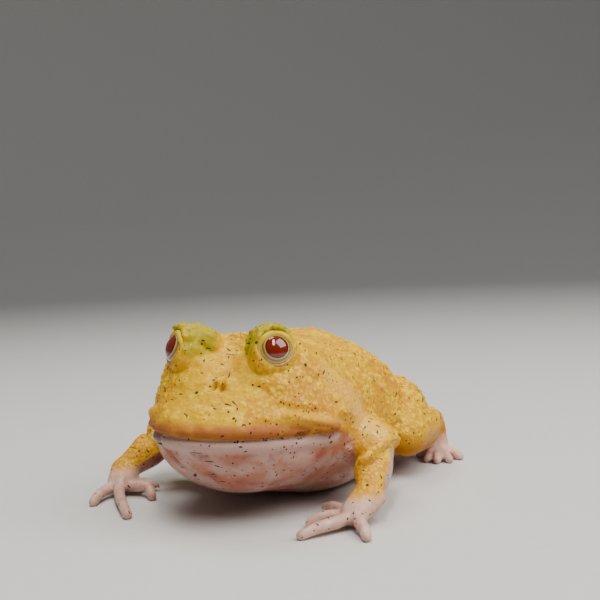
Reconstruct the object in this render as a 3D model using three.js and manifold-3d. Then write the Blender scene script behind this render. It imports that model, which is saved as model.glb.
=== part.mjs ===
// Argentine horned frog, albino, life size, sitting. Millimetres, +Z up.
// The frog faces -Y, its left side is +X, and it rests on the plane z = 0.
import * as THREE from 'three';
import { mergeVertices } from 'three/addons/utils/BufferGeometryUtils.js';
import Module from 'manifold-3d';

const wasm = await Module();
wasm.setup();

// Driving dimensions of the trunk
const SNOUT_Y = -36.5;
const VENT_Y = 58;
const HEAD_HALF_WIDTH = 26.5;
const BODY_HALF_WIDTH = 29;
const CROWN_HEIGHT = 44.8;
const BACK_HEIGHT = 42.2;
const LIP_HEIGHT = 23.3;
const JAW_CORNER_HEIGHT = 19.5;
const JAW_CORNER_Y = -3;
const MOUTH_BEND_Y = -22;
const MOUTH_BEND_DROP = 0.6;
const LIP_OVERHANG = 0.7;
const THROAT_HEIGHT = 3.5;
const BELLY_SINK = 0.8;
const GAP = 0.3;

// Driving dimensions of the face
const EYE_CENTRE = new THREE.Vector3(12.9, -19.6, 41.6);
const EYE_RADIUS = 4.6;
const GAZE = new THREE.Vector3(0.56, -0.71, 0.42).normalize();
const MOUND_RADIUS = 5.5;
const MOUND_SPREAD = new THREE.Vector3(1.05, 1.2, 1);
const MOUND_DEPTH = 1.6;
const LID_REACH = 4.2;
const LID_RIM = 0.9;
const HORN_PATH = [[7.2, -16.4, 43.2], [10.3, -18.2, 45.2], [13.9, -19.3, 46.4]];
const HORN_RADII = [3.6, 3.2, 2.1];
const NOSTRIL = new THREE.Vector3(1.5, -25.8, 33.8);
const NOSTRIL_SHAPE = new THREE.Vector3(0.45, 1.6, 1.1);
const NOSTRIL_TURN = [-0.6, 0.75, 0.5];

// Driving dimensions of the limbs
const UPPER_ARM_RADII = [10.2, 6.3];
const FOREARM_RADII = [4.4, 4.9, 3.4];
const HAND_RADII = [3.4, 2.9];
const FINGER_RADIUS = 1.3;
const SLEEVE_LEAN = [0.62, -0.25, -0.74];
const SLEEVE_REACH = 2.5;
const THIGH_RADII = [10, 10.5, 6.2];
const SHANK_RADII = [6.2, 6.6, 4];
const FOOT_RADII = [3.8, 3];
const TOE_RADIUS = 1.3;
const PAD_HEIGHT = 1.05;

const SIDES = { left: 1, right: -1 };

const albino = {
  skin: { color: 0xdcb552, roughness: 0.42 },
  throat: { color: 0xd9a590, roughness: 0.4 },
  horn: { color: 0xc6c04a, roughness: 0.45 },
  eye: { color: 0x8a2b10, roughness: 0.08 },
  digits: { color: 0xe3cbbf, roughness: 0.38 },
};

// Numbers and curves

const clamp = THREE.MathUtils.clamp;
const smooth = (x, low, high) => THREE.MathUtils.smoothstep(x, low, high);
const bell = (x, centre, width) => Math.exp(-(((x - centre) / width) ** 2));

// A value that follows y through a few named stations, without overshoot.
function stations(points) {
  const slope = points.slice(1).map((p, i) => (p[1] - points[i][1]) / (p[0] - points[i][0]));
  const tangent = points.map((p, i) => {
    if (i === 0) return slope[0];
    if (i === points.length - 1) return slope[i - 1];
    if (slope[i - 1] * slope[i] <= 0) return 0;
    return (2 * slope[i - 1] * slope[i]) / (slope[i - 1] + slope[i]);
  });
  return (y) => {
    const last = points.length - 2;
    const found = points.findIndex((p) => p[0] > y) - 1;
    const i = clamp(found < -1 ? last : found, 0, last);
    const span = points[i + 1][0] - points[i][0];
    const s = clamp((y - points[i][0]) / span, 0, 1);
    const rise = s * s * (3 - 2 * s);
    return points[i][1] * (1 - rise) + points[i + 1][1] * rise
      + span * (tangent[i] * s * (1 - s) ** 2 - tangent[i + 1] * s * s * (1 - s));
  };
}

// Trunk: one form from the snout to the vent, given by its sections across Y

const plan = stations([
  [SNOUT_Y, HEAD_HALF_WIDTH],
  [-8, HEAD_HALF_WIDTH],
  [4, HEAD_HALF_WIDTH + 0.6],
  [28, BODY_HALF_WIDTH],
  [44, BODY_HALF_WIDTH - 4],
  [VENT_Y, BODY_HALF_WIDTH - 11],
]);
const crest = stations([
  [SNOUT_Y, LIP_HEIGHT + 6],
  [-31, 31],
  [-26, 34],
  [-19, 39],
  [-10, CROWN_HEIGHT],
  [2, CROWN_HEIGHT - 2],
  [20, BACK_HEIGHT],
  [32, BACK_HEIGHT - 4.5],
  [44, BACK_HEIGHT - 12],
  [VENT_Y, BACK_HEIGHT - 22],
]);
const keel = stations([
  [SNOUT_Y, 16],
  [-30, 10.5],
  [-22, THROAT_HEIGHT + 2.5],
  [-14, THROAT_HEIGHT + 0.6],
  [-4, THROAT_HEIGHT - 1.5],
  [8, -BELLY_SINK],
  [40, -BELLY_SINK],
  [50, 2],
  [VENT_Y, 7],
]);
const widest = stations([
  [SNOUT_Y, LIP_HEIGHT - 1],
  [-10, LIP_HEIGHT - 3],
  [10, 17],
  [35, 15],
  [VENT_Y, 16],
]);

const POLE = 1e-6;
const roundEnd = (s, n, m) => (1 - clamp(s, 0, 1) ** n) ** (1 / m);
const frontPlan = (y) => roundEnd((4 - y) / (4 - SNOUT_Y), 2.6, 2.0);
const rearPlan = (y) => roundEnd((y - 30) / (VENT_Y - 30), 2.2, 2.0);
const frontHeight = (y) => roundEnd((-22 - y) / (-22 - SNOUT_Y), 2.4, 2.0);
const rearHeight = (y) => roundEnd((y - 36) / (VENT_Y - 36), 2.4, 2.0);

// Swellings and hollows of the skin over the skull and back, as heights along the surface.
function relief(x, y, z) {
  const side = Math.abs(x);
  const upper = smooth(z, 24, 32);
  const browRidge = 3.2 * bell(side, 12, 5.5) * bell(y, -16.5, 6.5) * upper;
  const dish = -0.4 * bell(side, 0, 6) * bell(y, -12, 8) * upper;
  const noseRidge = 1.1 * bell(side, 2.2, 2.6) * bell(y, -26.5, 4.2) * upper;
  const canthus = 0.9 * bell(side, 7.5, 2.6) * bell(y, -26, 6) * upper;
  const cheek = 1.3 * bell(y, -8, 8) * bell(z, 25, 5) * smooth(side, 18, 25);
  const lipRoll = 0.5 * bell(z, LIP_HEIGHT + 1.5, 2.2) * smooth(-y, 2, 8);
  const sacralHump = 1.3 * bell(side, 5, 5) * bell(y, 22, 7) * upper;
  return browRidge + dish + noseRidge + canthus + cheek + lipRoll + sacralHump;
}

// The trunk's skin pushed out by grow, or drawn in by inset from the neck forward.
function trunkGeometry({ grow = 0, inset = 0, around = 44, along = 40 } = {}) {
  const geometry = new THREE.SphereGeometry(1, around, along);
  const position = geometry.attributes.position;
  const mid = (SNOUT_Y + VENT_Y) / 2;
  const half = (VENT_Y - SNOUT_Y) / 2;
  const point = new THREE.Vector3();
  for (let i = 0; i < position.count; i++) {
    point.fromBufferAttribute(position, i);
    const y = mid + half * point.y;
    const ring = Math.hypot(point.x, point.z);
    const atPole = ring < POLE;
    const across = atPole ? 0 : point.x / ring;
    const rise = atPole ? 0 : point.z / ring;
    const level = widest(y);
    const width = plan(y) * frontPlan(y) * rearPlan(y);
    const height = rise > 0 ? (crest(y) - level) * frontHeight(y) * rearHeight(y)
      : (level - keel(y)) * frontHeight(y) * rearHeight(y);
    const squareness = rise > 0 ? 0.86 - 0.1 * smooth(-y, 0, 16) : 0.8 + 0.22 * smooth(-y, 0, 16);
    const flank = Math.sign(across) * Math.abs(across) ** squareness;
    const lift = Math.sign(rise) * Math.abs(rise) ** squareness;
    const x = flank * width;
    const z = level + lift * height;
    const out = grow + relief(x, y, z) - inset * smooth(-y, 0, 8);
    position.setXYZ(i, x + across * out, y + point.y * grow, z + rise * out);
  }
  return geometry;
}

// Solids

// A closed geometry as a solid, its vertices merged by position alone.
function solidOf(geometry) {
  const bare = geometry.index ? geometry.toNonIndexed() : geometry.clone();
  bare.deleteAttribute('normal');
  bare.deleteAttribute('uv');
  const merged = mergeVertices(bare, 1e-4);
  return new wasm.Manifold(new wasm.Mesh({
    numProp: 3,
    vertProperties: new Float32Array(merged.attributes.position.array),
    triVerts: new Uint32Array(merged.index.array),
  }));
}

// The largest closed body of a solid.
function largest(solid) {
  return solid.decompose().reduce((a, b) => (b.volume() > a.volume() ? b : a));
}

function geometryOf(solid) {
  const mesh = solid.getMesh();
  const geometry = new THREE.BufferGeometry();
  const corners = [];
  for (let i = 0; i < mesh.numVert; i++) {
    const at = i * mesh.numProp;
    corners.push(...mesh.vertProperties.slice(at, at + 3));
  }
  geometry.setAttribute('position', new THREE.Float32BufferAttribute(corners, 3));
  geometry.setIndex([...mesh.triVerts]);
  geometry.computeVertexNormals();
  return geometry;
}

// Everything on the far side of a plane, as a large box.
const REACH = 400;
function beyond(point, direction) {
  const box = new THREE.BoxGeometry(REACH, REACH, REACH);
  box.translate(0, 0, REACH / 2);
  const turn = new THREE.Quaternion().setFromUnitVectors(
    new THREE.Vector3(0, 0, 1), direction.clone().normalize());
  box.applyQuaternion(turn);
  box.translate(point.x, point.y, point.z);
  return solidOf(box);
}

const mirrored = (p, s) => [p[0] * s, p[1], p[2]];

function ball(centre, radius, stretch = new THREE.Vector3(1, 1, 1), around = 24, turn = null) {
  const geometry = new THREE.SphereGeometry(radius, around, Math.ceil(around * 0.6));
  geometry.scale(stretch.x, stretch.y, stretch.z);
  if (turn) geometry.applyQuaternion(turn);
  geometry.translate(centre.x, centre.y, centre.z);
  return solidOf(geometry);
}

// A sphere drawn out along a path: the radius follows radii, and each section is widened
// across the up direction by flat. The ends stay round.
function limb(points, radii, {
  flat = 1, grow = 0, around = 14, along = 8, capRows = 3, up = [0, 0, 1],
} = {}) {
  const path = new THREE.CatmullRomCurve3(points.map((p) => new THREE.Vector3(...p)));
  const rows = along + 2 * capRows;
  const geometry = new THREE.SphereGeometry(1, around, rows);
  const position = geometry.attributes.position;
  const upward = new THREE.Vector3(...up);
  for (let i = 0; i < position.count; i++) {
    const row = Math.floor(i / (around + 1));
    const turn = ((i % (around + 1)) / around) * 2 * Math.PI;
    const inHead = Math.min(row, capRows) / capRows;
    const inTail = Math.min(rows - row, capRows) / capRows;
    const t = clamp((row - capRows) / along, 0, 1);
    const centre = path.getPoint(t);
    const tangent = path.getTangent(t);
    const across = new THREE.Vector3().crossVectors(tangent, upward).normalize();
    const over = new THREE.Vector3().crossVectors(across, tangent).normalize();
    const span = t * (radii.length - 1);
    const k = Math.min(Math.floor(span), radii.length - 2);
    const blend = smooth(span - k, 0, 1);
    const radius = radii[k] * (1 - blend) + radii[k + 1] * blend + grow;
    const opening = Math.sin((Math.min(inHead, inTail) * Math.PI) / 2);
    const reach = Math.cos((Math.min(inHead, inTail) * Math.PI) / 2) * (inHead < 1 ? -1 : 1);
    centre.addScaledVector(tangent, reach * radius);
    centre.addScaledVector(across, Math.cos(turn) * opening * (radius * flat));
    centre.addScaledVector(over, Math.sin(turn) * opening * radius);
    position.setXYZ(i, centre.x, centre.y, centre.z);
  }
  return solidOf(geometry);
}

const floorCut = beyond(new THREE.Vector3(0, 0, 0), new THREE.Vector3(0, 0, -1));
const vector = (p) => new THREE.Vector3(...p);

// Cuts that part the trunk: the neck plane, and the mouth's surface from lip to jaw corner

const neckPoint = new THREE.Vector3(0, 0, JAW_CORNER_HEIGHT);
const neckLean = new THREE.Vector3(0, 1, -0.18).normalize();
const behindNeck = beyond(neckPoint, neckLean);
const beforeNeck = beyond(
  neckPoint.clone().addScaledVector(neckLean, -GAP), neckLean.clone().negate());

// Everything under the mouth's surface, which is lifted by raise.
function mouthCut(raise) {
  const [lipY, backY, under, breadth] = [SNOUT_Y - 10, JAW_CORNER_Y + 40, -30, 100];
  const bend = LIP_HEIGHT - MOUTH_BEND_DROP + raise;
  const profile = new THREE.Shape();
  profile.moveTo(lipY, LIP_HEIGHT + raise);
  profile.quadraticCurveTo(MOUTH_BEND_Y, bend, JAW_CORNER_Y, JAW_CORNER_HEIGHT + raise);
  profile.lineTo(backY, JAW_CORNER_HEIGHT - 5 + raise);
  profile.lineTo(backY, under);
  profile.lineTo(lipY, under);
  profile.closePath();
  const slab = new THREE.ExtrudeGeometry(profile, { depth: breadth, bevelEnabled: false, curveSegments: 12 });
  slab.translate(0, 0, -breadth / 2);
  slab.rotateX(Math.PI / 2);
  slab.rotateZ(Math.PI / 2);
  return solidOf(slab);
}

const trunk = solidOf(trunkGeometry());
const trunkUnderLip = solidOf(trunkGeometry({ inset: LIP_OVERHANG }));
const trunkClearance = solidOf(trunkGeometry({ grow: GAP }));

const torso = largest(trunk.intersect(behindNeck).subtract(floorCut));
const lowerJaw = largest(trunkUnderLip.intersect(beforeNeck).intersect(mouthCut(-GAP)));

// Head with eye mounds, sockets and nostrils

const eyeAt = (s) => new THREE.Vector3(EYE_CENTRE.x * s, EYE_CENTRE.y, EYE_CENTRE.z);
const gazeOf = (s) => new THREE.Vector3(GAZE.x * s, GAZE.y, GAZE.z);

const alongGaze = (s, distance) => eyeAt(s).addScaledVector(gazeOf(s), distance);
const lidOpening = (s) => ball(alongGaze(s, LID_REACH), EYE_RADIUS + GAP, undefined, 20);
const eyeClearance = (s) => ball(eyeAt(s), EYE_RADIUS + GAP, undefined, 20);
const mound = (s, grow) => ball(alongGaze(s, -MOUND_DEPTH), MOUND_RADIUS + grow, MOUND_SPREAD, 20);

let head = trunk.intersect(beforeNeck).subtract(mouthCut(0)).add(mound(1, 0)).add(mound(-1, 0));
for (const s of Object.values(SIDES)) {
  const [pitch, roll, yaw] = NOSTRIL_TURN;
  const slit = new THREE.Quaternion().setFromEuler(new THREE.Euler(pitch, roll * s, yaw * s));
  const nostril = new THREE.Vector3(NOSTRIL.x * s, NOSTRIL.y, NOSTRIL.z);
  head = head.subtract(eyeClearance(s)).subtract(lidOpening(s))
    .subtract(ball(nostril, 1, NOSTRIL_SHAPE, 10, slit));
}
head = largest(head);

// The fleshy horn of each upper lid: a hood over the eye. Its top is nearly level, with a blunt point.
function browHorn(s) {
  const rimCentre = eyeAt(s).add(new THREE.Vector3(-LID_RIM * s, LID_RIM, LID_RIM));
  const rim = ball(rimCentre, EYE_RADIUS + LID_RIM, undefined, 16);
  const stages = HORN_PATH.map((p) => mirrored(p, s));
  const hood = limb(stages, HORN_RADII, { around: 14, along: 5, up: [0, 1, 0] });
  return rim.add(hood).subtract(eyeClearance(s)).subtract(lidOpening(s))
    .subtract(trunkClearance).subtract(mound(s, 2 * GAP));
}

// Limbs

const LEFT_ARM = {
  shoulder: [18, 6, 17],
  elbow: [30, 3, 14.5],
  wrist: [34, -13.5, 6.4],
  palm: [32, -19.5, 3.2],
  digits: [
    { knuckle: [28, -15.5, 2.4], middle: [23, -11.5, 2], tip: [18.5, -8.5, PAD_HEIGHT] },
    { knuckle: [28.5, -20, 2.6], middle: [25, -21.5, 2.6], tip: [21.8, -22.5, PAD_HEIGHT] },
    { knuckle: [29.5, -24.5, 2.4], middle: [26.5, -28.5, 2.2], tip: [23.6, -31.6, PAD_HEIGHT] },
    { knuckle: [35, -23.5, 2.4], middle: [37, -26, 2.1], tip: [38.3, -28.2, PAD_HEIGHT] },
  ],
};
const RIGHT_ARM = {
  shoulder: [-18, 6, 17],
  elbow: [-34, 4, 14],
  wrist: [-41.5, -7.5, 6.4],
  palm: [-40.5, -12, 3.4],
  digits: [
    { knuckle: [-36.5, -8.5, 2.4], middle: [-31.5, -5, 2], tip: [-27.5, -2, PAD_HEIGHT] },
    { knuckle: [-36, -12, 2.6], middle: [-31.5, -12, 2.9], tip: [-28.6, -14.3, PAD_HEIGHT] },
    { knuckle: [-37, -17.5, 2.4], middle: [-31.5, -24, 2.2], tip: [-25.4, -30.2, PAD_HEIGHT] },
    { knuckle: [-42, -16, 2.4], middle: [-41.8, -20, 2.1], tip: [-41.2, -23.4, PAD_HEIGHT] },
  ],
};
const HIND = {
  hip: [13, 48, 14],
  thigh: [21.5, 40, 16],
  knee: [30, 27, 12],
  ankle: [29, 53, 10.5],
  ball: [32, 50, 4],
  digits: [
    { knuckle: [30, 49, 2.4], middle: [28.6, 48.9, 1.8], tip: [27, 48.8, PAD_HEIGHT] },
    { knuckle: [31.5, 47.6, 2.4], middle: [31.4, 45.6, 2], tip: [31.2, 43.4, PAD_HEIGHT] },
    { knuckle: [33, 47.4, 2.4], middle: [33.8, 45, 2.1], tip: [34.4, 42.6, PAD_HEIGHT] },
    { knuckle: [34.6, 48, 2.4], middle: [36.2, 46, 2.1], tip: [37.6, 44.4, PAD_HEIGHT] },
    { knuckle: [34.8, 50.4, 2.4], middle: [37.2, 49.8, 2], tip: [39.6, 49, PAD_HEIGHT] },
  ],
};

const solids = {};

function mix(a, b, t) {
  return a.map((v, i) => v * (1 - t) + b[i] * t);
}

// The plane that halves the angle at a joint between two segments.
function jointPlane(before, at, after) {
  const inward = vector(at).sub(vector(before)).normalize();
  const outward = vector(after).sub(vector(at)).normalize();
  return inward.add(outward).normalize();
}

function digit({ knuckle, middle, tip }, root, radius) {
  return limb([root, knuckle, middle, tip], [radius * 1.15, radius * 1.1, radius * 0.95, radius * 0.85],
    { around: 8, along: 6, capRows: 2 });
}

// The part of a limb's solid between its two joints, clear of the next part by the gap.
function between(solid, start, end) {
  let part = solid;
  if (start) part = part.intersect(beyond(start.at, start.facing));
  if (end) {
    const before = end.at.clone().addScaledVector(end.facing, -GAP);
    part = part.intersect(beyond(before, end.facing.clone().negate()));
  }
  return part.subtract(trunkClearance).subtract(floorCut);
}

// The body's skin hangs over the arm like a sleeve as far as a leaning plane past the elbow.
function arm(name, s, places) {
  const { shoulder, elbow, wrist, palm, digits } = places;
  const facing = vector(mirrored(SLEEVE_LEAN, s)).normalize();
  const sleeveEnd = { at: vector(elbow).addScaledVector(facing, SLEEVE_REACH), facing };
  const wristEnd = { at: vector(wrist), facing: jointPlane(elbow, wrist, palm) };
  const upper = limb([shoulder, elbow], UPPER_ARM_RADII, { along: 4 });
  const fore = limb([elbow, mix(elbow, wrist, 0.45), wrist], FOREARM_RADII, { along: 7 });
  let hand = limb([wrist, palm], HAND_RADII, { flat: 1.25, along: 3, around: 12 });
  for (const finger of digits) hand = hand.add(digit(finger, palm, FINGER_RADIUS));
  solids['upper_arm_' + name] = between(upper, null, sleeveEnd);
  solids['forearm_' + name] = between(fore, sleeveEnd, wristEnd);
  solids['hand_' + name] = between(hand, wristEnd, null);
}

function leg(name, s) {
  const { hip, thigh, knee, ankle, ball: pad } = Object.fromEntries(
    ['hip', 'thigh', 'knee', 'ankle', 'ball'].map((k) => [k, mirrored(HIND[k], s)]));
  const thighLimb = (grow) => limb([hip, thigh, knee], THIGH_RADII, { along: 7, grow });
  const shankLimb = (grow) => limb([knee, mix(knee, ankle, 0.5), ankle], SHANK_RADII,
    { along: 7, around: 13, grow });
  let foot = limb([ankle, pad], FOOT_RADII, { flat: 1.3, along: 3, around: 12 });
  for (const toe of HIND.digits) {
    const own = {
      knuckle: mirrored(toe.knuckle, s), middle: mirrored(toe.middle, s), tip: mirrored(toe.tip, s),
    };
    foot = foot.add(digit(own, pad, TOE_RADIUS));
  }
  solids['thigh_' + name] = between(thighLimb(0), null, null);
  solids['shank_' + name] = between(shankLimb(0).subtract(thighLimb(GAP)), null, null);
  solids['foot_' + name] = between(foot.subtract(thighLimb(GAP)).subtract(shankLimb(GAP)), null, null);
}

arm('left', 1, LEFT_ARM);
arm('right', -1, RIGHT_ARM);
leg('left', 1);
leg('right', -1);

for (const [name, s] of Object.entries(SIDES)) {
  solids['brow_horn_' + name] = browHorn(s);
  solids['eye_' + name] = ball(eyeAt(s), EYE_RADIUS, undefined, 18);
}

// Scene graph

const frog = new THREE.Group();
function place(name, solid, look) {
  const mesh = new THREE.Mesh(
    geometryOf(largest(solid)), new THREE.MeshStandardMaterial({ ...look, metalness: 0 }));
  mesh.name = name;
  frog.add(mesh);
}

place('head', head, albino.skin);
place('lower_jaw', lowerJaw, albino.throat);
place('torso', torso, albino.skin);
for (const [name, solid] of Object.entries(solids)) {
  const look = name.startsWith('eye') ? albino.eye
    : name.startsWith('brow') ? albino.horn
      : name.startsWith('hand') || name.startsWith('foot') ? albino.digits
        : albino.skin;
  place(name, solid, look);
}

// The origin is the middle of the bounding box's base.
const bounds = new THREE.Box3().setFromObject(frog);
const centre = bounds.getCenter(new THREE.Vector3());
frog.position.set(-centre.x, -centre.y, -bounds.min.z);

export default frog;
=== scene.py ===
# Albino argentine horned frog: one moist, warted skin over the solid frog, wet red-pupilled eyes,
# a pale studio floor and the camera of the photograph.
import bmesh
import bpy
import math
import numpy as np
from mathutils import Matrix, Vector


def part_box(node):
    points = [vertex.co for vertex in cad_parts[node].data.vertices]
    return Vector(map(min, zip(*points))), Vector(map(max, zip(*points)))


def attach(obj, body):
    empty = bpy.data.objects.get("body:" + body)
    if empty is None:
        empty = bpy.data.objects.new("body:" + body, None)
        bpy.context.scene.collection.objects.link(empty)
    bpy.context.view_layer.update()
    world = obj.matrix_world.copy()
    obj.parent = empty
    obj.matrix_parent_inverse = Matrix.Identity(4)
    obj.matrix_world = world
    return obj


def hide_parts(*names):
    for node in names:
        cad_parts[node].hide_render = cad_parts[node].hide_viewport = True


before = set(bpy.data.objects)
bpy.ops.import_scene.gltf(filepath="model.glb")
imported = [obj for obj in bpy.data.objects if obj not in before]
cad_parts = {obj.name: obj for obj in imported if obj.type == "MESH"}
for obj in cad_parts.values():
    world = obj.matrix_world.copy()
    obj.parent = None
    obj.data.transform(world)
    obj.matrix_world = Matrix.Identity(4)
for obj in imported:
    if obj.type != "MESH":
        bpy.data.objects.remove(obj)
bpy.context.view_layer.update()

MM = 0.001
SIDES = {"left": 1, "right": -1}
MIRROR_X = np.array([-1, 1, 1])


def unit(*v):
    return np.array(v) / np.linalg.norm(v)


# Places on the frog, in millimetres. The frog faces -Y, its left side is +X and the floor is z = 0.

EYE = np.array([12.9, -19.6, 41.6])
EYE_RADIUS = 4.6
GAZE = unit(0.56, -0.71, 0.42)
MOUTH_FRONT = (-46.5, 23.3)
MOUTH_BEND = (-22.0, 22.7)
MOUTH_BACK = (-3.0, 19.5)
MOUTH_CORNER_Y = -11.3
ELBOWS = {"left": np.array([30, 3, 14.5]), "right": np.array([-34, 4, 14])}
WRISTS = {"left": np.array([34, -13.5, 6.4]), "right": np.array([-41.5, -7.5, 6.4])}
SLEEVE_LEAN = unit(0.62, -0.25, -0.74)
SLEEVE_REACH = 2.5
DIGIT_REGIONS = [((29, -19, 1), 16.5), ((-35.5, -16.5, 1), 19), ((33, 47, 1), 11), ((-33, 47, 1), 11)]
TRUNK = (0, -5, 18)
TRUNK_REACH = 27
TRUNK_STRETCH = np.array([1, 0.6, 1])
SHOULDER = (27, 4, 20)
THIGH = (21.5, 40, 16)
KNEE = (30, 27, 12)
ANKLE = (29, 53, 10.5)
SNOUT = (-2, -32, 29)
NOSE_RIDGE = (4, -27, 35)
NOSE_BUMP = (3.4, -26.3, 34.7)
CHEEK = (21.5, -17.5, 31)
HORN_RIDGE = [(7.2, -21.5, 42.5), (7.6, -18.2, 47), (10.4, -18.6, 48.2), (14, -19.3, 48.4)]

# Folds and rolls of the face, each a path along the skin on the frog's left side
CHEEK_FOLD = [(16.9, -27.2, 28), (19.2, -25.6, 26.8), (21.7, -22.5, 25.8), (23.8, -18.6, 24.6),
              (25.2, -14.7, 23.4), (26, -11.6, 22.4)]
CHEEK_FOLD_TOP = [(15.5, -27.3, 29.8), (19, -24.9, 28.9), (22.3, -20.9, 27.6), (25.1, -15.4, 26)]
CHEEK_FOLD_UNDER = [(17.5, -26.8, 25.2), (20.9, -24, 24.6), (23.6, -20, 23.2), (25, -15.7, 22.2)]
JAW_CREASE = [(22.3, -12.9, 34.4), (24.4, -9.9, 31.4), (26.2, -8, 28.1), (27.2, -6.6, 24.6),
              (27, -5.4, 21.3), (25.6, -5.7, 17.5)]
SHINY_BAND = [(23.5, -8.5, 33.5), (26, -3.8, 28.6), (27.4, -1.5, 24.3), (29.5, -0.5, 20.3), (31, -1, 18)]
EAR_RIDGE = [(17.7, -18.4, 41), (18, -16, 38.7), (20.5, -14.8, 36.1), (22.3, -12.9, 34.4)]
CROWN_RIDGE = [(-4, -11.8, 44.3), (0, -11.2, 44.5), (4, -11.8, 44.3)]
THROAT_FOLD = [(-20.5, -26, 23), (-14.4, -31.4, 22.4), (-12.4, -32.1, 20.5), (-9.5, -32, 17.4),
               (-7.3, -30.9, 14.9), (-4.6, -29.5, 12.6), (0.1, -28.8, 11.4)]
NOSTRIL_SLITS = [[(-1.1, -27.7, 33.1), (-0.1, -25.8, 34.7)], [(1.4, -26.6, 33.7), (3.1, -27.6, 33.6)]]
MOUTH_GAP = [(20.2, -25.4, 22.4), (21.2, -23.9, 22.2), (22.2, -21.5, 21.9)]
SLEEVE_EDGE = np.array([(34.8, -0.2, 15.6), (34, -4.9, 15.4), (32.1, -9.4, 13.5), (30.4, -10.3, 12.1)])
THROAT_RIM = np.array(THROAT_FOLD) + [0.9, -0.6, -0.9]

# Folds on both sides: path, height of the roll or, below 0, depth of the crease, width, share on the right
PAIRED_FOLDS = [(CHEEK_FOLD, 2.1, 1.4, 0.4), (CHEEK_FOLD_TOP, -1.0, 1.2, 0.4),
                (CHEEK_FOLD_UNDER, -1.1, 0.9, 0.4), (JAW_CREASE, -1.2, 1.5, 1), (EAR_RIDGE, 0.6, 1.2, 1)]

# Folds as they lie: path, height or depth, width, and the share of the path over which each end fades
SINGLE_FOLDS = [(SLEEVE_EDGE - SLEEVE_LEAN, 1.2, 1.1, 0.1),
                (SLEEVE_EDGE + SLEEVE_LEAN * 0.6, -1.8, 0.75, 0.1),
                (MOUTH_GAP, -2.0, 0.8, 0.3), (CROWN_RIDGE, 0.9, 1.2, 0.2),
                (THROAT_FOLD, -1.4, 0.8, 0.08), (THROAT_RIM, 0.5, 0.9, 0.1)]
SINGLE_FOLDS += [(slit, -2.0, 0.8, 0.25) for slit in NOSTRIL_SLITS]

# Heights across the mouth line, each with its middle and its width: the upper lip, the furrow over it, the
# slit of the mouth, the lower lip and the furrow under it
LIP_PROFILES = [(0.4, 1.5, 1.0), (-0.2, 3.6, 0.9), (-1.3, -0.2, 0.5), (0.35, -1.9, 1.1), (-0.3, -4.2, 1.2)]
LIP_WAVES = (0.15, 1.5, 1.0)
LIP_WAVE_SIZE = 2.2
SEEDS = {"lip": 53, "wrinkle": 29, "wave": 31, "horn": 41}

# The same across the right sleeve's edge: a roll and a furrow
SLEEVE_PROFILES = [(0.6, -1, 1), (-1.1, 0.9, 0.7)]

# How far out from the middle an arm begins: for the crisp edge, for the right sleeve and for the colours
ARM_CRISP_X = (27, 30)
SLEEVE_X = (24, 28)
ARM_X = (25, 28)
NOSE_BUMP_HEIGHT = 0.8


def eye_middle(node):
    low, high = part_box(node)
    return (np.array(low) + np.array(high)) / 2


eye_centres = {side: eye_middle("eye_" + side) for side in SIDES}
ORIGIN = (eye_centres["left"] + eye_centres["right"]) / 2 - np.array([0, EYE[1], EYE[2]]) * MM


def in_row(point_mm):
    """A place on the frog, in millimetres, as a point of the row frame in metres."""
    return Vector(ORIGIN + np.asarray(point_mm, float) * MM)


def on_side(direction, side):
    """A direction given for the frog's left side, mirrored for its right."""
    return direction * [SIDES[side], 1, 1]


# Numbers on arrays

def rise(x, low, high):
    """0 below low, 1 above high, smooth between."""
    t = np.clip((x - low) / (high - low), 0, 1)
    return t * t * (3 - 2 * t)


def bell(x, centre, width):
    return np.exp(-(((x - centre) / width) ** 2))


def ball_mask(points, centre, reach, soft):
    """1 within reach of a place, 0 outside, with an edge as soft as soft."""
    return 1 - rise(np.linalg.norm(points - np.asarray(centre, float), axis=1), reach - soft, reach + soft)


def pair_mask(points, centre, reach, soft):
    """The same about a place and about its mirror image."""
    return np.maximum(ball_mask(points, centre, reach, soft),
                      ball_mask(points * MIRROR_X, centre, reach, soft))


def along_path(points, path):
    """How far each point is from a path of straight stretches, and how far along the path it lies, 0 to 1."""
    best = np.full(len(points), np.inf)
    along = np.zeros(len(points))
    path = np.asarray(path, float)
    spans = len(path) - 1
    for i in range(spans):
        a, b = path[i], path[i + 1]
        t = np.clip(((points - a) @ (b - a)) / ((b - a) @ (b - a)), 0, 1)
        d = np.linalg.norm(points - (a + t[:, None] * (b - a)), axis=1)
        nearer = d < best
        best[nearer] = d[nearer]
        along[nearer] = (i + t[nearer]) / spans
    return best, along


def about_axis(points, start, end):
    """How far each point is from the axis of a limb, and the direction from the axis to it."""
    axis = end - start
    t = np.clip(((points - start) @ axis) / (axis @ axis), 0, 1)
    away = points - (start + t[:, None] * axis)
    distance = np.linalg.norm(away, axis=1)
    return distance, away / distance[:, None]


def nearest_of_pair(points, path):
    """How far each point is from a path or from its mirror image."""
    return np.minimum(along_path(points, path)[0], along_path(points * MIRROR_X, path)[0])


def roll(points, path, height, width, ends=0.2):
    """A raised roll along a path, or a crease where the height is negative, fading at its ends."""
    distance, along = along_path(points, path)
    return height * bell(distance, 0, width) * rise(along, -0.01, ends) * (1 - rise(along, 1 - ends, 1.01))


def both_sides(points, path, height, width, right_share):
    """The same roll on the left side and, at a share of its height, on the right."""
    return (roll(points, path, height, width)
            + right_share * roll(points * MIRROR_X, path, height, width))


def profile_height(distance, profiles):
    """The height across a seam, summed over its rolls and furrows."""
    return sum(height * bell(distance, middle, width) for height, middle, width in profiles)


def mouth_height(y):
    """The height of the mouth line at each y."""
    t = np.linspace(0, 1, 60)
    curve = [(1 - t) ** 2 * a + 2 * t * (1 - t) * b + t ** 2 * c
             for a, b, c in zip(MOUTH_FRONT, MOUTH_BEND, MOUTH_BACK)]
    return np.interp(y, *curve)


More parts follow.
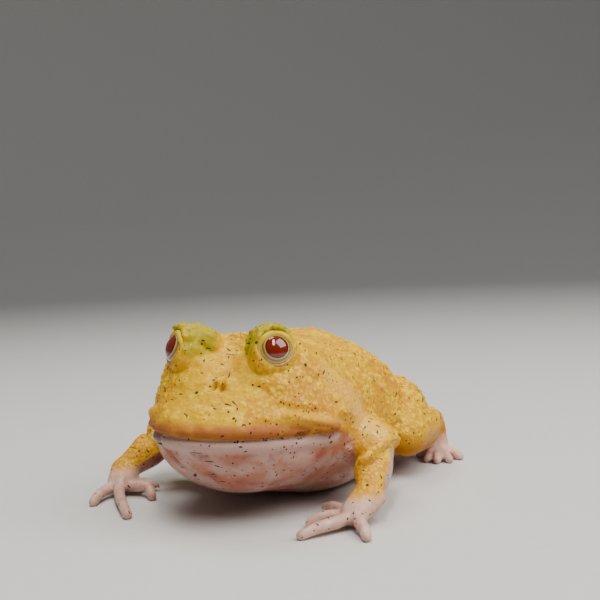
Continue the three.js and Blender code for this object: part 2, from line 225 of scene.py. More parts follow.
# Odd factors and shifts that scramble a cell's place into a number
CELL_FACTORS = np.array([73856093, 19349663, 83492791])
SALT_FACTOR = 265443


def random_at(cells, salt):
    """A repeatable random number from 0 to 1 for each cell of a lattice."""
    n = np.bitwise_xor.reduce(cells * CELL_FACTORS, axis=1) ^ (salt * SALT_FACTOR)
    n = ((n ^ (n >> 13)) * 1274126177) & 0x7FFFFFFF
    n = ((n ^ (n >> 11)) * 97531) & 0x7FFFFFFF
    return ((n >> 7) & 0xFFFF) / 65535


def corners(reach):
    """The steps from a lattice cell to its neighbours."""
    return [(dx, dy, dz) for dx in reach for dy in reach for dz in reach]


def warts(points, spacing, smallest, largest, share, salt):
    """Domes scattered over space, one in a share of the cells: their height at each point, 0 to 1."""
    home = np.floor(points / spacing).astype(np.int64)
    height = np.zeros(len(points))
    for step in corners((-1, 0, 1)):
        cell = home + step
        centre = np.stack([random_at(cell, salt + k) for k in range(3)], 1)
        centre = (cell + 0.15 + 0.7 * centre) * spacing
        radius = smallest + (largest - smallest) * random_at(cell, salt + 3)
        there = random_at(cell, salt + 4) < share
        reach = np.linalg.norm(points - centre, axis=1) / radius
        dome = np.clip(1 - reach ** 2, 0, 1) * (0.55 + 0.45 * radius / largest)
        height = np.maximum(height, np.where(there, dome, 0))
    return height


def rumple(points, size, salt):
    """Smooth random waves about size across, from -1 to 1."""
    place = points / size
    home = np.floor(place).astype(np.int64)
    t = place - home
    t = t * t * (3 - 2 * t)
    total = np.zeros(len(points))
    for step in corners((0, 1)):
        share = np.where(step, t, 1 - t).prod(axis=1)
        total += share * random_at(home + step, salt)
    return total * 2 - 1


# Meshes

def link(name, mesh):
    obj = bpy.data.objects.new(name, mesh)
    bpy.context.scene.collection.objects.link(obj)
    return obj


def vertex_values(mesh, key):
    flat = np.empty(len(mesh.vertices) * 3)
    mesh.vertices.foreach_get(key, flat)
    return flat.reshape(-1, 3)


def paint_attribute(mesh, name, values):
    made = mesh.attributes.new(name, "FLOAT", "POINT")
    made.data.foreach_set("value", np.ascontiguousarray(values, dtype=np.float32))


class Surface:
    """A mesh's points in millimetres on the frog, with what is needed to relax and press them."""

    PULL = 0.5
    PUSH_BACK = 0.52

    def __init__(self, mesh):
        self.mesh = mesh
        edges = np.empty(len(mesh.edges) * 2, np.int32)
        mesh.edges.foreach_get("vertices", edges)
        self.ends = edges.reshape(-1, 2).T
        self.points = (vertex_values(mesh, "co") - ORIGIN) / MM
        self.valence = np.bincount(edges, minlength=len(self.points))[:, None]

    def neighbours_mean(self):
        a, b = self.ends
        count = len(self.points)
        total = [np.bincount(a, self.points[b, k], count) + np.bincount(b, self.points[a, k], count)
                 for k in range(3)]
        return np.stack(total, 1) / self.valence

    def relax(self, rounds, weight, shrink=False):
        """Evens the surface out where weight is near 1, and keeps its volume unless it may shrink."""
        weight = weight[:, None]
        for _ in range(rounds):
            self.points += self.PULL * weight * (self.neighbours_mean() - self.points)
            if not shrink:
                self.points -= self.PUSH_BACK * weight * (self.neighbours_mean() - self.points)

    def store(self):
        self.mesh.vertices.foreach_set("co", (self.points * MM + ORIGIN).ravel())
        self.mesh.update()

    def outward(self):
        self.store()
        return vertex_values(self.mesh, "normal")

    def press(self, height):
        """Moves each point along its normal by height, in millimetres."""
        self.points += self.outward() * height[:, None]


# Skin: one closed surface over all the flesh

FLESH = ["head", "lower_jaw", "torso"] + [
    part + "_" + side
    for part in ("brow_horn", "upper_arm", "forearm", "hand", "thigh", "shank", "foot")
    for side in SIDES
]
SKIN_VOXEL = 0.54 * MM
GAP_FILL = 0.22 * MM
MERGE_REACH = 0.002 * MM


def flesh_mesh():
    """The flesh nodes as one mesh, each swollen by a little so that the gaps between them close."""
    joined = bmesh.new()
    for name in FLESH:
        joined.from_mesh(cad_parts[name].data)
    bmesh.ops.remove_doubles(joined, verts=joined.verts, dist=MERGE_REACH)
    joined.normal_update()
    for vert in joined.verts:
        vert.co += vert.normal * GAP_FILL
    mesh = bpy.data.meshes.new("skin")
    joined.to_mesh(mesh)
    joined.free()
    return mesh


def one_surface():
    """The swollen flesh as one even, closed surface."""
    obj = link("skin", flesh_mesh())
    remesh = obj.modifiers.new("one_surface", "REMESH")
    remesh.mode = "VOXEL"
    remesh.voxel_size = SKIN_VOXEL
    graph = bpy.context.evaluated_depsgraph_get()
    mesh = bpy.data.meshes.new_from_object(obj.evaluated_get(graph))
    obj.modifiers.clear()
    coarse = obj.data
    obj.data = mesh
    bpy.data.meshes.remove(coarse)
    mesh.polygons.foreach_set("use_smooth", np.ones(len(mesh.polygons), bool))
    return obj


def digits_of(points):
    """1 on the fingers and toes, 0 elsewhere."""
    mask = np.zeros(len(points))
    for centre, reach in DIGIT_REGIONS:
        mask = np.maximum(mask, ball_mask(points, centre, reach, 2))
    trunk = ball_mask(points * TRUNK_STRETCH, TRUNK, TRUNK_REACH, 1) * rise(points[:, 2], 2.4, 3.2)
    return mask * (1 - rise(points[:, 2], 5, 8.5)) * (1 - trunk)


def eye_distance(points):
    """How far each point is from the middle of the nearer eye."""
    return np.minimum(np.linalg.norm(points - EYE, axis=1), np.linalg.norm(points - EYE * MIRROR_X, axis=1))


def eye_nearness(points, low, high):
    """1 nearer than low to the middle of an eye, 0 beyond high."""
    return 1 - rise(eye_distance(points), low, high)


def sleeve_distance(points, side):
    """How far past the sleeve's edge each point lies along that arm, and 1 near the edge, 0 away from it."""
    lean = on_side(SLEEVE_LEAN, side)
    edge = ELBOWS[side] + lean * SLEEVE_REACH
    return (points - edge) @ lean, ball_mask(points, edge, 8, 2)


def horn_of(points):
    """1 on the two brow horns, 0 elsewhere."""
    return (1 - rise(nearest_of_pair(points, HORN_RIDGE), 3.2, 5.2)) * rise(points[:, 2], 39.5, 42)


FIRST_ROUNDS = 6
MELT_ROUNDS = 40
SHRINK_ROUNDS = 8
JOIN_ROUNDS = 30
SKIRT_ROUNDS = 50
SKIRT_FILL = 1.2


def even_out():
    """Melts the seams of the flesh, with the sleeve's edge, the digits and the lids kept crisp."""
    points = surface.points
    crisp = np.maximum(digits_of(points), eye_nearness(points, 6.3, 8.5))
    for side in SIDES:
        past, near = sleeve_distance(points, side)
        crisp = np.maximum(crisp, near * bell(past, 0, 1.2) * rise(np.abs(points[:, 0]), *ARM_CRISP_X))
    surface.relax(FIRST_ROUNDS, np.ones(len(points)))
    surface.relax(MELT_ROUNDS, 1 - crisp)
    surface.relax(SHRINK_ROUNDS, (1 - crisp) * 0.9, shrink=True)
    shoulders = pair_mask(points, SHOULDER, 9, 4)
    neck = bell(points[:, 1] - 0.18 * points[:, 2], -3.5, 4) * (1 - rise(points[:, 2], 18, 22))
    surface.relax(JOIN_ROUNDS, np.maximum(shoulders, neck) * (1 - crisp), shrink=True)
    skirt = bell(eye_distance(surface.points), 8.2, 1.8) * (1 - rise(surface.points[:, 2], 38.5, 41.5))
    surface.press(SKIRT_FILL * skirt)
    surface.relax(SKIRT_ROUNDS, skirt, shrink=True)


def shape_face():
    """Lips, folds and nostrils, as heights along the skin."""
    points = surface.points
    y, z = points[:, 1], points[:, 2]
    gap = z - mouth_height(y)
    facing_out = 1 - rise(np.abs(surface.outward()[:, 2]), 0.75, 0.95)
    mouth = (1 - rise(y, MOUTH_CORNER_Y - 1.5, MOUTH_CORNER_Y + 1.5)) * facing_out
    height = profile_height(gap, LIP_PROFILES)
    height += profile_height(gap, [LIP_WAVES]) * rumple(points, LIP_WAVE_SIZE, SEEDS["lip"])
    height *= mouth
    for path, fold_height, width, right_share in PAIRED_FOLDS:
        height += both_sides(points, path, fold_height, width, right_share)
    for path, fold_height, width, ends in SINGLE_FOLDS:
        height += roll(points, path, fold_height, width, ends)
    past, near = sleeve_distance(points, "right")
    height += near * rise(-points[:, 0], *SLEEVE_X) * profile_height(past, SLEEVE_PROFILES)
    height += NOSE_BUMP_HEIGHT * pair_mask(points, NOSE_BUMP, 1.3, 1.2)
    surface.press(height)


SMALL_WARTS = {"spacing": 2.0, "smallest": 0.8, "largest": 1.15, "share": 0.6, "salt": 3}
LARGE_WARTS = {"spacing": 4.0, "smallest": 1.0, "largest": 1.8, "share": 0.45, "salt": 17}
SMALL_WART_HEIGHT = 0.55
LARGE_WART_HEIGHT = 0.85
WRINKLE_HEIGHT = 0.22
WRINKLE_SIZE = 1.7
WAVE_SIZE = 4
HORN_WRINKLE_HEIGHT = 0.45
HORN_WRINKLE_SIZE = 1.3
HORN_WRINKLE_STRETCH = np.array([1.5, 1, 0.8])
ROUGHEST = 1.25


def roughen():
    """Warts and wrinkles where the real skin has them. Returns the warts, 0 to 1."""
    points = surface.points
    x, y, z = points.T
    upper = np.where(y < -8, rise(z - mouth_height(y), 1.8, 4.2), rise(z, 11, 15))
    shiny = 1 - rise(nearest_of_pair(points, SHINY_BAND), 2.5, 5)
    fold = 1 - rise(nearest_of_pair(points, CHEEK_FOLD), 1.5, 3)
    crease = 1 - rise(nearest_of_pair(points, CHEEK_FOLD_TOP), 1.0, 2.2)
    bare = np.maximum.reduce([digits_of(points), shiny, fold, crease, eye_nearness(points, 5.3, 6.2)])
    flank = rise(y, 0, 8) * rise(np.abs(x), 12, 20)
    knee = pair_mask(points, KNEE, 9, 3)
    cheek = pair_mask(points, CHEEK, 10, 4)
    granular = upper * (1 - bare)
    rough = granular * np.minimum(0.4 + 0.8 * flank + 0.7 * knee + 0.5 * cheek, ROUGHEST)
    small = warts(points, **SMALL_WARTS)
    large = warts(points, **LARGE_WARTS)
    wrinkles = rumple(points, WRINKLE_SIZE, SEEDS["wrinkle"]) + rumple(points, WAVE_SIZE, SEEDS["wave"])
    horn_wrinkles = rumple(points * HORN_WRINKLE_STRETCH, HORN_WRINKLE_SIZE, SEEDS["horn"])
    height = rough * (SMALL_WART_HEIGHT * small + LARGE_WART_HEIGHT * large)
    height += WRINKLE_HEIGHT * granular * wrinkles
    height += HORN_WRINKLE_HEIGHT * horn_of(points) * horn_wrinkles
    surface.press(height)
    return granular * np.maximum(small, large)


skin = one_surface()
surface = Surface(skin.data)
even_out()
shape_face()
wart_tips = roughen()
surface.points[:, 2] = np.maximum(surface.points[:, 2], 0)
surface.store()


# Shader maths: a socket that adds its own nodes

class Field:
    """A shader socket. Arithmetic on it adds Math nodes to its tree."""

    def __init__(self, tree, socket=None):
        self.tree = tree
        self.socket = socket

    def node(self, kind, settings=None, **values):
        """A new node of that type: its settings first, then its sockets, by name or as in0, in1..."""
        made = self.tree.nodes.new(kind)
        for name, value in (settings or {}).items():
            setattr(made, name, value)
        for name, value in values.items():
            key = int(name[2:]) if name[:2] == "in" and name[2:].isdigit() else name.replace("_", " ")
            self.feed(made.inputs[key], value)
        return made

    def feed(self, socket, value):
        if isinstance(value, Field):
            self.tree.links.new(value.socket, socket)
        elif isinstance(value, tuple) and len(value) == 3 and socket.type == "RGBA":
            socket.default_value = (*value, 1.0)
        else:
            socket.default_value = value

    def out(self, made, output=0):
        return Field(self.tree, made.outputs[output])

    def math(self, operation, *values):
        made = self.node("ShaderNodeMath", {"operation": operation},
                         **{"in%d" % i: v for i, v in enumerate(values)})
        return self.out(made)

    def __add__(self, other):
        return self.math("ADD", self, other)

    def __sub__(self, other):
        return self.math("SUBTRACT", self, other)

    def __rsub__(self, other):
        return self.math("SUBTRACT", other, self)

    def __mul__(self, other):
        return self.math("MULTIPLY", self, other)

    __radd__ = __add__
    __rmul__ = __mul__

    def larger(self, other):
        return self.math("MAXIMUM", self, other)

    def between(self, low, high):
        """0 below low, 1 above high, smooth between."""
        made = self.node("ShaderNodeMapRange", {"interpolation_type": "SMOOTHSTEP"},
                         in0=self, in1=low, in2=high, in3=0.0, in4=1.0)
        return self.out(made)

    def paint(self, below, above):
        """The colour below where this is 0, and above where it is 1."""
        made = self.node("ShaderNodeMix", {"data_type": "RGBA", "clamp_factor": True},
                         in0=self, in6=below, in7=above)
        return self.out(made, 2)


NOISE_ROUGHNESS = 0.55


class Finish:
    """A material with one Principled shader, and the fields that paint it."""

    def __init__(self, name, **constants):
        self.material = bpy.data.materials.new(name)
        self.material.use_nodes = True
        self.tree = self.material.node_tree
        self.shader = next(n for n in self.tree.nodes if n.type == "BSDF_PRINCIPLED")
        for key, value in constants.items():
            self.shader.inputs[key.replace("_", " ")].default_value = value
        self.start = Field(self.tree)
        self.place = self.start.out(self.start.node("ShaderNodeTexCoord"), "Object")

    def attribute(self, name):
        return self.start.out(self.start.node("ShaderNodeAttribute", {"attribute_name": name}), "Fac")

    def turned(self, turn, stretch):
        """The place on the piece, turned and then stretched."""
        spun = self.start.out(self.start.node("ShaderNodeMapping", Vector=self.place, Rotation=turn))
        return self.start.out(self.start.node("ShaderNodeMapping", Vector=spun, Scale=stretch))

    def noise(self, size_mm, detail):
        """Noise whose features are about size_mm across, around 0.5."""
        made = self.start.node("ShaderNodeTexNoise", Vector=self.place, Scale=1 / (size_mm * MM),
                               Detail=detail, Roughness=NOISE_ROUGHNESS)
        return self.start.out(made)

    def cells(self, size_mm, place=None):
        """The distance to the nearest of many scattered points, and a random number for each."""
        made = self.start.node("ShaderNodeTexVoronoi", Vector=place or self.place, Scale=1 / (size_mm * MM))
        apart = self.start.node("ShaderNodeSeparateColor", in0=self.start.out(made, "Color"))
        return self.start.out(made, "Distance"), self.start.out(apart)

    def bump(self, height, distance_mm, strength):
        made = self.start.node("ShaderNodeBump", Height=height, Distance=distance_mm * MM, Strength=strength)
        return self.start.out(made)

    def set(self, **fields):
        for key, field in fields.items():
            self.tree.links.new(field.socket, self.shader.inputs[key.replace("_", " ")])


# Colour regions of the skin

# The way the yellow side of each forearm faces, and the way the red side of the right one does
DORSAL = {"left": unit(-0.2, -0.85, 0.45), "right": unit(-0.43, -0.75, 0.53)}
RED_SIDE = unit(0.8, -0.3, -0.4)

# Red blotches of the throat, each with its reach
BLOTCHES = [((-0.3, -34.4, 18.3), 1.9), ((9.3, -33, 18.2), 3.0), ((16.4, -28.2, 18.6), 2.0),
            ((6.8, -26.5, 10.4), 3.5), ((0.7, -30.1, 12.8), 2.6), ((22.2, -15.9, 15.9), 2.2),
            ((-9, -31, 16), 1.8), ((13, -22, 9.5), 2.4)]

# Behind the mouth, the height of the border between the yellow back and the pale belly at each y
PALE_BORDER_Y = [MOUTH_CORNER_Y, -5, 2, 10, 30, 60]
PALE_BORDER_Z = [21.5, 19, 14, 9, 8, 8]


def paint_regions():
    """Where each colour of the skin lies, as attributes from 0 to 1 on its points."""
    points = surface.points
    x, y, z = points.T
    gap = z - mouth_height(y)
    head = 1 - rise(y, MOUTH_CORNER_Y - 1, MOUTH_CORNER_Y + 2)
    border = np.where(y < MOUTH_CORNER_Y, mouth_height(y), np.interp(y, PALE_BORDER_Y, PALE_BORDER_Z))
    softness = np.interp(y, [-14, -6, 2], [0.25, 1.5, 3.5])
    pale = 1 - rise((z - border) / softness, -1, 1)
    sleeves = rise(np.abs(x), *ARM_X) * rise(y, -13, -9)
    pale *= 1 - sleeves
    forearms = np.zeros(len(points))
    # Red low on the throat, stronger towards the bottom: partly its own red and partly painted shade beneath
    # the chin
    red_and_shade = 0.5 * (1 - rise(z, 4, 14)) * head * (gap < 0)
    for side in SIDES:
        near, facing = about_axis(points, ELBOWS[side], WRISTS[side])
        past, _ = sleeve_distance(points, side)
        arm = (1 - rise(near, 5.5, 8)) * rise(past, 0.8, 1.8) * rise(np.abs(x), *ARM_X)
        inner = 1 - rise(facing @ DORSAL[side], -0.25, 0.25)
        pale = pale * (1 - arm) + inner * arm
        forearms = np.maximum(forearms, arm * (1 - inner))
        if side == "right":
            red_and_shade = np.maximum(red_and_shade, arm * rise(facing @ RED_SIDE, 0.1, 0.7))
    legs = 1 - rise(nearest_of_pair(points, [THIGH, KNEE, ANKLE]), 8, 11)
    legs *= rise(y, 14, 20)
    pale = pale * (1 - legs * rise(z, 2, 6))
    cheek = pair_mask(points, CHEEK, 8, 4)
    muzzle = rise(-y, 12, 20) * (1 - rise(np.abs(x), 8, 17))
    regions = {
        "pale": pale,
        "lip": head * rise(-gap, 0, 0.5) * (1 - rise(-gap, 2.2, 4.2)),
        "lip_rim": head * rise(gap, -0.2, 0.3) * (1 - rise(gap, 2.4, 4.4)),
        "band": 1 - rise(nearest_of_pair(points, SHINY_BAND), 2, 6),
        "fold": 1 - rise(nearest_of_pair(points, CHEEK_FOLD), 0.6, 2.4),
        "blotch": np.maximum.reduce([ball_mask(points, c, r + 0.5, r) for c, r in BLOTCHES]),
        "red_and_shade": red_and_shade,
        "wart": wart_tips,
        "granular": np.maximum(np.where(y < -8, rise(gap, 1.5, 5), rise(z, 9, 15)), forearms)
                    * (1 - digits_of(points)) * (1 - 0.55 * muzzle),
        "horn": horn_of(points),
        "digit": digits_of(points),
        # The low part of the legs, deeper amber: partly their own orange and partly painted shade beneath
        # them
        "knee": legs * (1 - rise(z, 8, 15)),
        # On the forearms the cheek's peach and cream: partly their own paler skin, partly painted highlights
        "cheek": np.maximum(cheek, 0.8 * forearms),
        "chrome": np.maximum(ball_mask(points, SNOUT, 8, 5), 0.7 * ball_mask(points, NOSE_RIDGE, 4, 3)),
    }
    slits = NOSTRIL_SLITS + [MOUTH_GAP, SLEEVE_EDGE + SLEEVE_LEAN * 0.7]
    regions["dark"] = np.maximum.reduce([bell(along_path(points, path)[0], 0, 0.6) for path in slits])
    for name, values in regions.items():
        paint_attribute(skin.data, name, values)


YELLOW = (0.74, 0.42, 0.0005)
CREAM = (0.82, 0.54, 0.01)
CHROME = (0.70, 0.41, 0.0005)
ORANGE = (0.66, 0.30, 0.001)
PEACH = (0.78, 0.38, 0.03)
# Dark red-orange for the upper lip's roll: its own orange darkened as painted shade
SHADED_LIP_ORANGE = (0.29, 0.07, 0.02)
# Painted shade for the furrows between the granules
FURROW_SHADE = (0.48, 0.21, 0.0005)
# Pale peach for the shiny band behind the mouth, partly a painted sheen
SHEEN = (0.88, 0.50, 0.09)
# Deep amber for the low part of the legs, partly painted shade
SHADED_AMBER = (0.36, 0.13, 0.0005)
PINK = (0.42, 0.16, 0.10)
LAVENDER = (0.48, 0.30, 0.25)
RED = (0.26, 0.045, 0.028)
LIME = (0.34, 0.29, 0.0005)
BONE = (0.82, 0.60, 0.50)
SHADOW = (0.15, 0.055, 0.004)
SOIL = (0.018, 0.010, 0.006)


def skin_finish():
    finish = Finish("albino_skin", Subsurface_Weight=0.08, Subsurface_Radius=(0.9, 0.35, 0.15),
                    Subsurface_Scale=0.0015, Specular_IOR_Level=0.16, Coat_Roughness=0.16, Coat_IOR=1.36)
    patches = finish.noise(8, 3).between(0.50, 0.62)
    clouds = finish.noise(5, 4).between(0.50, 0.68)
    ragged = finish.noise(3, 3)
    back = clouds.paint(patches.paint(YELLOW, ORANGE), CREAM)
    # Peach and cream on the cheeks and forearms, on the forearms partly painted highlights
    back = finish.attribute("cheek").paint(back, clouds.paint(PEACH, CREAM))
    back = finish.attribute("chrome").paint(back, patches.paint(CHROME, YELLOW))
    wart = finish.attribute("wart")
    grain, _ = finish.cells(1.05)
    granule = (1 - grain).between(0.3, 0.8)
    # Painted shade: a darker orange in the furrows between the granules. The wart tops are paler cream,
    # partly their own paler skin and partly a painted highlight.
    furrow = finish.attribute("granular") * (1 - wart.between(0.0, 0.5)) * (1 - granule)
    back = (furrow * 0.7).paint(back, FURROW_SHADE)
    back = (wart.between(0.3, 0.9) * 0.5).paint(back, CREAM)
    # The low part of the legs in deep amber, partly painted shade beneath them
    back = finish.attribute("knee").paint(back, SHADED_AMBER)
    # The upper lip's roll in a dark red-orange: its own orange, darkened as painted shade
    back = (finish.attribute("lip_rim") * 0.9).paint(back, (clouds * 0.25).paint(SHADED_LIP_ORANGE, PEACH))
    back = (finish.attribute("fold") * 0.8).paint(back, PEACH)
    blotch = (finish.attribute("blotch") * 0.8 + ragged * 2.6 - 1.6).between(0.0, 0.9) * 0.75
    below = finish.noise(6, 3).between(0.38, 0.62).paint(PINK, LAVENDER)
    below = blotch.paint(below, RED)
    # Red on the throat's lower part, partly painted shade, and on one side of the right forearm
    below = (finish.attribute("red_and_shade") * 0.6).paint(below, RED)
    below = finish.attribute("lip").paint(below, LAVENDER)
    border = (finish.attribute("pale") + ragged * 0.3 - 0.15).between(0.2, 0.8)
    colour = border.paint(back, below)
    # Painted sheen: the shiny band behind the mouth paler, in peach and cream, partly its own pale skin
    colour = (finish.attribute("band") * 0.6).paint(colour, clouds.paint(SHEEN, CREAM))
    colour = (finish.attribute("horn") * 0.85).paint(colour, LIME)
    colour = finish.attribute("digit").paint(colour, finish.noise(2.5, 2).paint(BONE, PINK))
    colour = (finish.attribute("dark") * 0.8).paint(colour, SHADOW)
    moist = finish.noise(4, 3)
    wet = finish.attribute("pale").larger(finish.attribute("band")).larger(wart * 0.7)
    rough = (wart * 0.5 + 0.5) * finish.attribute("granular") * granule + finish.noise(0.4, 2) * 0.3
    finish.set(Base_Color=soiled(finish, colour), Roughness=0.6 - wet * 0.2 + (moist - 0.5) * 0.2,
               Coat_Weight=(0.06 + wet * 0.4 + granule * 0.4) * moist.between(0.3, 0.6),
               Normal=finish.bump(rough, 0.28, 0.9))
    return finish.material


# Specks: the size of a cell in mm, a speck's radius as a share of it, and the share of cells that hold one
SPECKS = [(1.4, 0.12, 0.3), (2.8, 0.12, 0.5), (6.0, 0.09, 0.8)]

# Fibres: specks drawn out along one way, at each of several turns
FIBRE_TURNS = [(0.5, 0.9, 0.3), (1.2, 0.2, 1.1), (1.5, 1.3, 2.0), (0.3, 1.5, 0.2)]
FIBRE_STRETCH = (1, 1, 0.12)
FIBRE_CELL = 1.6
FIBRE_RADII = (0.12, 0.16)
FIBRE_SHARE = 0.40
SOIL_COVER = 0.95


def soiled(finish, colour):
    """The colour with specks and short fibres of soil on it."""
    marks = [(finish.cells(size), dot * 0.7, dot, share) for size, dot, share in SPECKS]
    marks += [(finish.cells(FIBRE_CELL, finish.turned(turn, FIBRE_STRETCH)), *FIBRE_RADII, FIBRE_SHARE)
              for turn in FIBRE_TURNS]
    for (distance, draw), inner, outer, share in marks:
        mark = (1 - distance.between(inner, outer)) * (1 - draw.between(share, share + 0.01))
        colour = (mark * SOIL_COVER).paint(colour, SOIL)
    return colour


paint_regions()
skin.data.materials.append(skin_finish())
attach(skin, "root")
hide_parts(*FLESH)


# Eyes, each a wet ball with its pole on the line of sight. Angles are from that line, in degrees.

PUPIL_ANGLE = 38
IRIS_RING_ANGLES = (PUPIL_ANGLE + 2.5, PUPIL_ANGLE + 6)
GOLD_ANGLES = (49, 51)
WHITE_ANGLES = (53, 56)
PUPIL = (0.16, 0.010, 0.001)
# Darker red towards the pupil's rim: painted shade of depth
PUPIL_RIM_SHADE = (0.06, 0.004, 0.001)
IRIS_RING = (0.48, 0.33, 0.12)
IRIS = (0.20, 0.14, 0.035)
IRIS_GOLD = (0.60, 0.36, 0.01)
EYE_WHITE = (0.28, 0.20, 0.06)


def eye_finish():
    finish = Finish("wet_eye", Roughness=0.10, Coat_Weight=1.0, Coat_Roughness=0.02, IOR=1.38,
                    Subsurface_Weight=0.1, Subsurface_Scale=0.001)
    angle = finish.attribute("from_gaze") + (finish.noise(1.2, 2) - 0.5) * 2.5
    # The pupil brighter red in its middle and darker towards its rim: a painted glow and shade of depth
    colour = angle.between(PUPIL_ANGLE - 9, PUPIL_ANGLE).paint(PUPIL, PUPIL_RIM_SHADE)
    colour = angle.between(PUPIL_ANGLE - 0.6, PUPIL_ANGLE + 0.6).paint(colour, IRIS_RING)
    colour = angle.between(*IRIS_RING_ANGLES).paint(colour, IRIS)
    colour = angle.between(*GOLD_ANGLES).paint(colour, IRIS_GOLD)
    colour = angle.between(*WHITE_ANGLES).paint(colour, EYE_WHITE)
    finish.set(Base_Color=colour)
    return finish.material


def eye_turn(side):
    """From a shape about +Z at the origin to one about that eye's line of sight."""
    gaze = Vector(on_side(GAZE, side))
    turn = Vector((0, 0, 1)).rotation_difference(gaze).to_matrix().to_4x4()
    return Matrix.Translation(Vector(eye_centres[side])) @ turn


def finished(name, shape, material, replaced=None):
    """The shape as a smooth-shaded piece of the frog."""
    for face in shape.faces:
        face.smooth = True
    mesh = bpy.data.meshes.new(name)
    shape.to_mesh(mesh)
    shape.free()
    mesh.materials.append(material)
    obj = link(name, mesh)
    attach(obj, "root")
    if replaced:
        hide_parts(replaced)
    return obj


def eyeball(side):
    shape = bmesh.new()
    bmesh.ops.create_uvsphere(shape, u_segments=96, v_segments=72, radius=EYE_RADIUS * MM)
    bmesh.ops.transform(shape, matrix=eye_turn(side), verts=shape.verts)
    ball = finished("eyeball_" + side, shape, eye_look, "eye_" + side)
    outward = vertex_values(ball.data, "co") - eye_centres[side]
    outward /= np.linalg.norm(outward, axis=1)[:, None]
    angle = np.degrees(np.arccos(np.clip(outward @ on_side(GAZE, side), -1, 1)))
    paint_attribute(ball.data, "from_gaze", angle)


eye_look = eye_finish()
for eye_side in SIDES:
    eyeball(eye_side)


# Lids: a soft rim round each eye, thick and yellow above, thin and pale below

LID_ANGLE = math.radians(62)
LID_DROP = math.radians(11)
LID_THICKNESS = 0.38
LID_GROWTH = 1.3
LID_STAND = EYE_RADIUS + 0.1
LID_BELOW = (0.40, 0.27, 0.06)
LID_ABOVE = (0.60, 0.42, 0.001)
LID_MOTTLE = (0.50, 0.33, 0.06)


def lid_finish():
    finish = Finish("lid_skin", Roughness=0.5, Coat_Weight=0.08, Coat_Roughness=0.25,
                    Subsurface_Weight=0.2, Subsurface_Scale=0.001, Specular_IOR_Level=0.3)
    mottle = finish.noise(1.5, 3).between(0.4, 0.7)
    colour = finish.attribute("above").paint(mottle.paint(LID_BELOW, LID_MOTTLE), LID_ABOVE)
    finish.set(Base_Color=colour, Normal=finish.bump(finish.noise(0.4, 2), 0.05, 0.6))
    return finish.material


def lid_ring():
    """A thin ring about +Z, where the rim of the lids stands on an eye."""
    shape = bmesh.new()
    ring = Vector((math.sin(LID_ANGLE), 0, math.cos(LID_ANGLE))) * LID_STAND * MM
    bmesh.ops.create_circle(shape, segments=16, radius=LID_THICKNESS * MM)
    stand = Matrix.Translation(ring) @ Matrix.Rotation(math.radians(90), 4, "X")
    bmesh.ops.transform(shape, matrix=stand, verts=shape.verts)
    bmesh.ops.spin(shape, geom=shape.verts[:] + shape.edges[:], cent=(0, 0, 0), axis=(0, 0, 1),
                   angle=math.radians(360), steps=72, use_merge=True)
    bmesh.ops.remove_doubles(shape, verts=shape.verts, dist=MERGE_REACH)
    bmesh.ops.recalc_face_normals(shape, faces=shape.faces)
    return shape


def lid(side):
    """The ring turned to the line of sight, with its upper part lowered and thickened."""
    shape = lid_ring()
    bmesh.ops.transform(shape, matrix=eye_turn(side), verts=shape.verts)
    piece = finished("lid_" + side, shape, lid_look)
    centre = eye_centres[side]
    points = (vertex_values(piece.data, "co") - centre) / MM
    gaze = on_side(GAZE, side)
    top = unit(*(np.array([0, 0, 1]) - gaze * gaze[2]))
    flat = points - (points @ gaze)[:, None] * gaze
    flat /= np.linalg.norm(flat, axis=1)[:, None]
    above = flat @ top
    drop = rise(above, -0.1, 0.8)[:, None]
    middle = (gaze * math.cos(LID_ANGLE) + flat * math.sin(LID_ANGLE)) * LID_STAND
    lowered = LID_ANGLE - LID_DROP * drop
    moved = (gaze * np.cos(lowered) + flat * np.sin(lowered)) * LID_STAND
    grown = moved + (points - middle) * (1 + LID_GROWTH * drop)
    piece.data.vertices.foreach_set("co", (grown * MM + centre).ravel())
    piece.data.update()
    paint_attribute(piece.data, "above", rise(above, -0.2, 0.5))


lid_look = lid_finish()
for lid_side in SIDES:
    lid(lid_side)


# Studio: a pale floor that curves up at its rim, three soft lamps, and the camera of the photograph

FLOOR_REACH, FLOOR_BEND, FLOOR_STEPS = 1.0, 0.7, 14
FLOOR_DARK = (0.56, 0.55, 0.53)
FLOOR_LIGHT = (0.62, 0.60, 0.58)

# Each lamp's place, size, power and colour, in metres and watts
LAMPS = {
    "key": ((0.11, -0.24, 0.6), (0.10, 0.42), 2.8, (1.0, 0.97, 0.92)),
    "top": ((-0.2, 0.12, 0.6), (0.30, 0.30), 2.1, (1.0, 0.98, 0.94)),
    "side": ((0.44, 0.02, 0.54), (0.55, 0.55), 5.6, (1.0, 0.98, 0.95)),
}
LAMP_AIM = (0, 0, 0.02)
AIR_COLOUR = (0.92, 0.94, 1.0, 1)
AIR_STRENGTH = 0.14


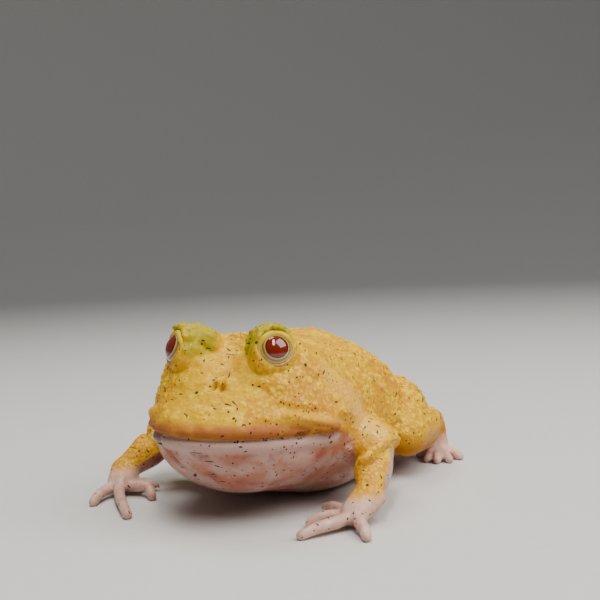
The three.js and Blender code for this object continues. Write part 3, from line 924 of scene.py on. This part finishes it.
def studio_floor():
    """A round floor whose rim curves up to a low wall."""
    bowl = bmesh.new()
    bmesh.ops.create_circle(bowl, cap_ends=True, segments=96, radius=FLOOR_REACH)
    rim = bowl.edges[:]
    for step in range(1, FLOOR_STEPS + 1):
        angle = math.radians(90) * step / FLOOR_STEPS
        made = bmesh.ops.extrude_edge_only(bowl, edges=rim)["geom"]
        rim = [e for e in made if isinstance(e, bmesh.types.BMEdge)]
        raised = [v for v in made if isinstance(v, bmesh.types.BMVert)]
        for vert in raised:
            out = Vector((vert.co.x, vert.co.y, 0)).normalized()
            vert.co = out * (FLOOR_REACH + FLOOR_BEND * math.sin(angle))
            vert.co.z = FLOOR_BEND * (1 - math.cos(angle))
    for face in bowl.faces:
        face.smooth = True
    mesh = bpy.data.meshes.new("floor")
    bowl.to_mesh(mesh)
    bowl.free()
    floor = link("floor", mesh)
    finish = Finish("pale_floor", Roughness=0.7)
    finish.set(Base_Color=finish.noise(3, 3).paint(FLOOR_DARK, FLOOR_LIGHT))
    mesh.materials.append(finish.material)


def lamp(name, place, size, power, colour):
    data = bpy.data.lights.new(name, "AREA")
    data.shape = "RECTANGLE"
    data.size, data.size_y = size
    data.energy = power
    data.color = colour
    obj = bpy.data.objects.new(name, data)
    obj.location = place
    obj.rotation_euler = (Vector(LAMP_AIM) - Vector(place)).to_track_quat("-Z", "Y").to_euler()
    bpy.context.scene.collection.objects.link(obj)


# The camera's turn, pitch and roll in degrees, its focal length in pixels of the photograph, and where it
# stands in mm, along its own right, its own up and backwards
CAMERA_TURN, CAMERA_PITCH, CAMERA_ROLL = 24.79, 3.82, -2.54
CAMERA_FOCAL_PIXELS = 899
CAMERA_STAND = np.array([7.98, 52.65, 244.06])
PHOTO_SIDE = 600
SENSOR_MM = 36


def photo_camera():
    a, tilt, bank = np.radians([CAMERA_TURN, CAMERA_PITCH, CAMERA_ROLL])
    back = np.array([math.sin(a) * math.cos(tilt), -math.cos(a) * math.cos(tilt), math.sin(tilt)])
    level = np.array([math.cos(a), math.sin(a), 0])
    over = np.cross(back, level)
    right = math.cos(bank) * level + math.sin(bank) * over
    up = -math.sin(bank) * level + math.cos(bank) * over
    place = CAMERA_STAND[0] * right + CAMERA_STAND[1] * up + CAMERA_STAND[2] * back
    data = bpy.data.cameras.new("camera")
    data.sensor_width = SENSOR_MM
    data.lens = CAMERA_FOCAL_PIXELS / PHOTO_SIDE * SENSOR_MM
    data.clip_start = 0.005
    obj = bpy.data.objects.new("camera", data)
    obj.matrix_world = Matrix.Translation(in_row(place)) @ Matrix([right, up, back]).transposed().to_4x4()
    bpy.context.scene.collection.objects.link(obj)
    bpy.context.scene.camera = obj


def studio_light():
    world = bpy.data.worlds.new("studio")
    world.use_nodes = True
    background = world.node_tree.nodes["Background"]
    background.inputs["Color"].default_value = AIR_COLOUR
    background.inputs["Strength"].default_value = AIR_STRENGTH
    bpy.context.scene.world = world
    for name, settings in LAMPS.items():
        lamp(name, *settings)


studio_floor()
photo_camera()
studio_light()
